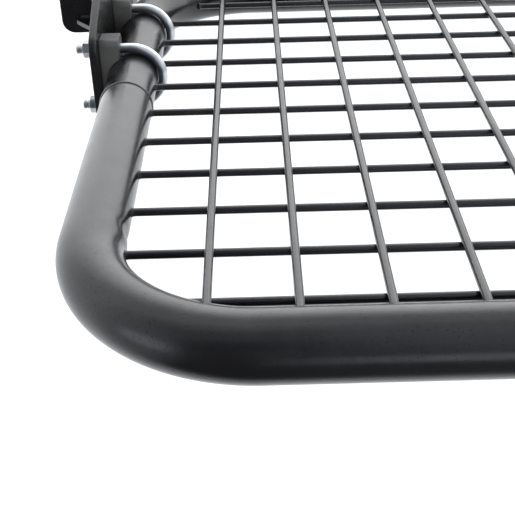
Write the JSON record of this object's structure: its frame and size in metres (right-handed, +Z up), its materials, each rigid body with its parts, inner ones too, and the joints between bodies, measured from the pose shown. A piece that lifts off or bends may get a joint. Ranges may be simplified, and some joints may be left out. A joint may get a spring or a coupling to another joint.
{
  "type": "headache rack",
  "caption": "Pickup headache rack: a round-cornered tube hoop filled with welded square mesh, on two clamped plate feet that stand on the bed rails.",
  "frame": {"origin": "centre of the rack's footprint, on the plane where the rail pads meet the bed rails", "axes": "+X across the truck to the side of the right foot, +Y towards the cab, +Z up"},
  "size_m": [1.7382, 0.21, 0.6775],
  "materials": {
    "powder_coat": "satin black powder coat",
    "bare_steel": "bare drawn steel, inside the tube",
    "zinc_steel": "bright zinc plate",
    "saddle_nylon": "black moulded nylon",
    "pad_rubber": "black rubber sheet"
  },
  "bodies": {
    "rack": {"upper_hoop": "powder_coat", "lower_hoop": "powder_coat", "mesh_vertical_rods": "powder_coat", "mesh_horizontal_rods": "powder_coat", "left_mesh_post": "powder_coat", "right_mesh_post": "powder_coat", "left_splice_sleeve": "bare_steel", "right_splice_sleeve": "bare_steel", "left_seam_weld": "powder_coat", "right_seam_weld": "powder_coat"},
    "left_foot": {"left_foot_bracket": "powder_coat", "left_foot_gussets": "powder_coat", "left_rail_pad": "pad_rubber", "left_lower_u_bolt": "zinc_steel", "left_upper_u_bolt": "zinc_steel", "left_lower_saddle": "saddle_nylon", "left_upper_saddle": "saddle_nylon", "left_clamp_washers": "zinc_steel", "left_clamp_nuts": "zinc_steel"},
    "right_foot": {"right_foot_bracket": "powder_coat", "right_foot_gussets": "powder_coat", "right_rail_pad": "pad_rubber", "right_lower_u_bolt": "zinc_steel", "right_upper_u_bolt": "zinc_steel", "right_lower_saddle": "saddle_nylon", "right_upper_saddle": "saddle_nylon", "right_clamp_washers": "zinc_steel", "right_clamp_nuts": "zinc_steel"}
  },
  "joints": [
    {"name": "left_foot_height", "type": "slide", "parent": "rack", "child": "left_foot", "axis": [0, 0, 1], "range_m": [-0.014, 0.014]},
    {"name": "right_foot_height", "type": "slide", "parent": "rack", "child": "right_foot", "axis": [0, 0, 1], "range_m": [-0.014, 0.014]}
  ]
}
